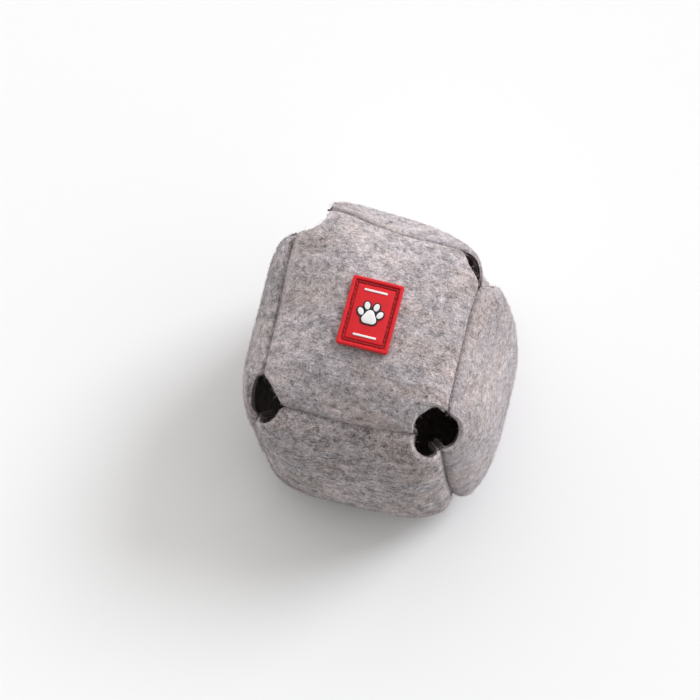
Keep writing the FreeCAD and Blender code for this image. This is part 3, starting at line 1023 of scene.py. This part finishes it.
def studio_world(stage):
    """Soft light from all round: fill + slope * the direction's share towards the back.

    Seen straight, or in a gloss or through glass, it is an even white.
    """
    world = bpy.data.worlds.new("studio")
    world.use_nodes = True
    tree = world.node_tree
    place = put(tree, "TexCoord").outputs["Generated"]
    back = put(tree, "VectorMath", {0: place, 1: stage.behind}, operation="DOT_PRODUCT").outputs["Value"]
    light = span(tree, back, -1, 1, stage.fill - stage.slope, stage.fill + stage.slope)
    path = put(tree, "LightPath").outputs
    seen = math_of(tree, "MAXIMUM", path["Is Camera Ray"], path["Is Glossy Ray"])
    seen = math_of(tree, "MAXIMUM", seen, path["Is Transmission Ray"])
    strength = put(tree, "Mix", {0: seen, 2: light, 3: SEEN_WHITE}, data_type="FLOAT").outputs[0]
    colour = mixed(tree, seen, (*stage.fill_tint, 1), (1, 1, 1, 1))
    background = tree.nodes["Background"]
    tree.links.new(strength, background.inputs["Strength"])
    tree.links.new(colour, background.inputs["Color"])
    return world


# ---------------------------------------------------------------- sizes and colours

def badge_size(axis):
    """The badge's size along one axis of the ball, as the frame has it."""
    low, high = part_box("badge_plate")
    return high[axis] - low[axis]


def a_number(label, says, default, **limits):
    """A plain number among the settings."""
    return FloatProperty(name=label, description=says, default=default, **limits)


def a_length(label, says, default, **limits):
    return FloatProperty(name=label, description=says, default=default, unit="LENGTH", **limits)


def an_angle(label, says, default):
    return FloatProperty(name=label, description=says, default=default, subtype="ANGLE")


def a_colour(label, says, default, **limits):
    """A colour, or a tint that colours are multiplied by."""
    return FloatVectorProperty(name=label, description=says, default=default, size=3,
                               subtype="COLOR", **limits)


def a_direction(label, says, default):
    return FloatVectorProperty(name=label, description=says, default=default, size=3,
                               subtype="DIRECTION")


class FeltSettings(bpy.types.PropertyGroup):
    """The felt panels and the thread in their seams."""
    felt: a_length("Felt", "Thickness of the felt", 3.5 * MM, min=1 * MM, max=8 * MM)
    edge_round: a_length("Edge round", "Radius of the softened cut edges", 1.5 * MM, min=0)
    unevenness: a_length("Unevenness", "Height of the felt's lumps", 0.3 * MM, min=0)
    taper: a_number("Taper", "Share by which the ball narrows upwards", 0.047)
    lean_x: a_number("Lean across", "Sideways lean for each unit of height", -0.116)
    lean_y: a_number("Lean back", "Backward lean for each unit of height", 0.079)
    stretch: a_number("Stretch", "Length from front to back over width", 1.0435)
    thread: a_length("Thread", "Thickness of the sewing thread", 0.7 * MM, min=0.1 * MM)
    fibres: IntProperty(name="Fibres", description="Stray fibres on each panel", default=8500, min=0)
    fibre: a_length("Fibre length", "Mean length of the stray fibres", 2.2 * MM, min=0.1 * MM)
    fibre_thick: a_length("Fibre thickness", "Thickness of the stray fibres", 0.10 * MM, min=0.01 * MM)
    fibre_bend: a_length("Fibre bend", "How far the fibres wander sideways", 3.5 * MM, min=0)
    # Painted glow: the palest stray fibres are brightened this far, partly for light shining through them
    fibre_tone_and_glow: a_number("Fibre shade", "Brightness of the palest fibres", 1.8, min=1)
    # Painted shade: the inner face, the turned-in felt and the cut edges darken towards this warm tint,
    # standing for the shade inside the ball
    inner_painted_shade: a_colour("Inner tint", "Tint of the inner face", (0.23, 0.185, 0.17))
    colour: a_colour("Felt colour", "Middle grey of the wool", (0.435, 0.387, 0.398))
    warm: a_colour("Warm fibres", "Tint of the brown patches", (1.02, 0.98, 0.935), max=2)
    cool: a_colour("Cool fibres", "Tint of the grey-blue patches", (0.965, 0.985, 1.0), max=2)
    speck: a_colour("Specks", "Tint of the dark fibres", (0.52, 0.44, 0.38))
    thread_colour: a_colour("Thread colour", "Colour of the sewing thread", (0.11, 0.095, 0.095))


class BadgeSettings(bpy.types.PropertyGroup):
    """The moulded badge; heights are over the felt."""
    width: a_length("Width", "Width of the badge", badge_size(0))
    height: a_length("Height", "Height of the badge", badge_size(1))
    corner: a_length("Corner", "Radius of the badge's corners", 0.8 * MM)
    rim: a_length("Rim", "Width of the raised rim", 1.6 * MM)
    groove: a_length("Groove", "Width of the stitching groove", 1.5 * MM)
    rim_top: a_length("Rim height", "Top of the rim", 2.2 * MM)
    field_top: a_length("Field height", "Top of the field", 1.8 * MM)
    groove_top: a_length("Groove height", "Floor of the groove", 1.2 * MM)
    backing: a_length("Backing", "Thickness of the paw's dark backing", 0.35 * MM)
    motif: a_length("Paw", "Thickness of the paw", 0.45 * MM)
    pitch: a_length("Stitch length", "Length of the badge's stitches", 2.1 * MM)
    thread: a_length("Thread", "Thickness of the badge's thread", 0.6 * MM)
    red: a_colour("Red", "Colour of the plate", (0.66, 0.012, 0.020))
    dark: a_colour("Dark", "Colour of the paw's backing", (0.015, 0.013, 0.014))
    white: a_colour("White", "Colour of the paw and the rules", (0.84, 0.83, 0.82))
    thread_red: a_colour("Thread red", "Colour of the badge's thread", (0.30, 0.010, 0.014))


class StageSettings(bpy.types.PropertyGroup):
    """The floor, the lights and the camera."""
    floor: a_colour("Floor", "Colour of the floor", (0.89, 0.89, 0.895))
    key: a_number("Key light", "Strength of the soft light from behind", 1.70, min=0)
    fill: a_number("Fill", "Mean strength of the light from all round", 0.97, min=0)
    slope: a_number("Fill slope", "How much more of it comes from behind", 0.87, min=0)
    behind: a_direction("Behind", "Where most of the fill comes from", (0.10, 0.95, -0.30))
    fill_tint: a_colour("Fill tint", "Colour of the light from all round", (1.0, 0.99, 0.965))
    azimuth: an_angle("Azimuth", "Camera's turn round the ball", math.radians(13.7))
    elevation: an_angle("Elevation", "Camera's height over the horizon", math.radians(74.4))
    lens: a_number("Lens", "Focal length in millimetres", 92.7, min=1)
    shift: FloatVectorProperty(name="Shift", description="The lens's shift, as shares of the width",
                               default=(-0.0409, 0.0186), size=2)
    towards: a_direction("Towards", "Where the key light comes from", (0.527, 0.586, 0.616))
    key_tint: a_colour("Key tint", "Colour of the key light", (0.92, 0.94, 1.0))
    softness: an_angle("Softness", "How wide the key light is", math.radians(26))


# ---------------------------------------------------------------- operators

class BALL_OT_panels(bpy.types.Operator):
    """Build the six felt panels with their turned-in seams, and the stray fibres on each"""
    bl_idname = "felt_ball.panels"
    bl_label = "Felt Panels"

    def execute(self, context):
        shape = context.scene.felt_settings
        material = felt_material(shape)
        for name in PANEL_AXES:
            build_panel(name, shape, material)
            build_fuzz(name, shape, material)
        return {"FINISHED"}


class BALL_OT_seam_threads(bpy.types.Operator):
    """Sew the twelve seams, inside the ball"""
    bl_idname = "felt_ball.seam_threads"
    bl_label = "Seam Threads"

    def execute(self, context):
        shape = context.scene.felt_settings
        material = thread_material("sewing_thread", shape.thread_colour, 0.2)
        for node in SEAMS:
            build_seam_thread(node, shape, material)
        return {"FINISHED"}


class BALL_OT_badge_plate(bpy.types.Operator):
    """Mould the badge's red plate with its rim and stitching groove"""
    bl_idname = "felt_ball.badge_plate"
    bl_label = "Badge Plate"

    def execute(self, context):
        scene = context.scene
        badge = scene.badge_settings
        build_badge_plate(scene.felt_settings, badge, vinyl_material("red_vinyl", badge.red))
        return {"FINISHED"}


class BALL_OT_badge_stitches(bpy.types.Operator):
    """Sew the badge down along its groove"""
    bl_idname = "felt_ball.badge_stitches"
    bl_label = "Badge Stitches"

    def execute(self, context):
        scene = context.scene
        badge = scene.badge_settings
        build_badge_stitches(scene.felt_settings, badge,
                             thread_material("red_thread", badge.thread_red, 0.1))
        return {"FINISHED"}


class BALL_OT_badge_motif(bpy.types.Operator):
    """Raise the paw print on its dark backing, and the two rules"""
    bl_idname = "felt_ball.badge_motif"
    bl_label = "Badge Motif"

    def execute(self, context):
        scene = context.scene
        badge = scene.badge_settings
        build_badge_motif(scene.felt_settings, badge, vinyl_material("white_vinyl", badge.white, 0.5),
                          vinyl_material("dark_vinyl", badge.dark, 0.5))
        return {"FINISHED"}


class BALL_OT_stage(bpy.types.Operator):
    """Lay the pale floor, hang the lights and set the camera"""
    bl_idname = "felt_ball.stage"
    bl_label = "Stage"

    def execute(self, context):
        scene = context.scene
        stage = scene.stage_settings
        scene.view_settings.view_transform = "Standard"
        corners = np.array([[-1, -1, 0], [1, -1, 0], [1, 1, 0], [-1, 1, 0]]) * FLOOR_REACH
        mesh = bpy.data.meshes.new("floor")
        mesh.from_pydata(corners.tolist(), [], [(0, 1, 2, 3)])
        material, _, main = shader("floor_paper", Roughness=0.9, Specular_IOR_Level=0.1)
        main.inputs["Base Color"].default_value = (*stage.floor, 1)
        mesh.materials.append(material)
        floor = bpy.data.objects.new("floor", mesh)
        scene.collection.objects.link(floor)
        scene.world = studio_world(stage)
        middle = Vector(CENTRE)
        lamp = bpy.data.lights.new("key", "SUN")
        lamp.angle = stage.softness
        lamp.energy = stage.key
        lamp.color = stage.key_tint
        key = bpy.data.objects.new("key", lamp)
        towards = Vector(stage.towards)
        key.location = middle + towards
        key.rotation_euler = (-towards).to_track_quat("-Z", "Y").to_euler()
        scene.collection.objects.link(key)
        lens = bpy.data.cameras.new("camera")
        lens.lens = stage.lens
        lens.sensor_width = 36
        lens.shift_x, lens.shift_y = stage.shift
        lens.clip_end = 2 * FLOOR_REACH
        camera = bpy.data.objects.new("camera", lens)
        az, el = stage.azimuth, stage.elevation
        back = Vector((math.sin(az) * math.cos(el), -math.cos(az) * math.cos(el), math.sin(el)))
        camera.location = middle + back * CAMERA_AWAY * HALF
        camera.rotation_euler = (-back).to_track_quat("-Z", "Y").to_euler()
        scene.collection.objects.link(camera)
        scene.camera = camera
        return {"FINISHED"}


class BALL_PT_panel(bpy.types.Panel):
    """Sidebar panel that lists the ball's operators and settings"""
    bl_idname = "BALL_PT_panel"
    bl_label = "Hollow Felt Ball"
    bl_space_type = "VIEW_3D"
    bl_region_type = "UI"
    bl_category = "Felt Ball"

    def draw(self, context):
        for operator in OPERATORS:
            self.layout.operator(operator.bl_idname)
        for settings in SETTINGS:
            box = self.layout.box()
            for key in SETTINGS[settings].__annotations__:
                box.prop(getattr(context.scene, settings), key)


OPERATORS = (BALL_OT_panels, BALL_OT_seam_threads, BALL_OT_badge_plate, BALL_OT_badge_stitches,
             BALL_OT_badge_motif, BALL_OT_stage)
SETTINGS = {"felt_settings": FeltSettings, "badge_settings": BadgeSettings,
            "stage_settings": StageSettings}


def register():
    for settings in SETTINGS:
        bpy.utils.register_class(SETTINGS[settings])
        setattr(bpy.types.Scene, settings, PointerProperty(type=SETTINGS[settings]))
    for operator in OPERATORS:
        bpy.utils.register_class(operator)
    bpy.utils.register_class(BALL_PT_panel)


def unregister():
    bpy.utils.unregister_class(BALL_PT_panel)
    for operator in reversed(OPERATORS):
        bpy.utils.unregister_class(operator)
    for settings in SETTINGS:
        delattr(bpy.types.Scene, settings)
        bpy.utils.unregister_class(SETTINGS[settings])


def main():
    register()
    bpy.ops.felt_ball.panels()
    bpy.ops.felt_ball.seam_threads()
    bpy.ops.felt_ball.badge_plate()
    bpy.ops.felt_ball.badge_stitches()
    bpy.ops.felt_ball.badge_motif()
    bpy.ops.felt_ball.stage()
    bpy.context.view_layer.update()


if __name__ == "__main__":
    main()
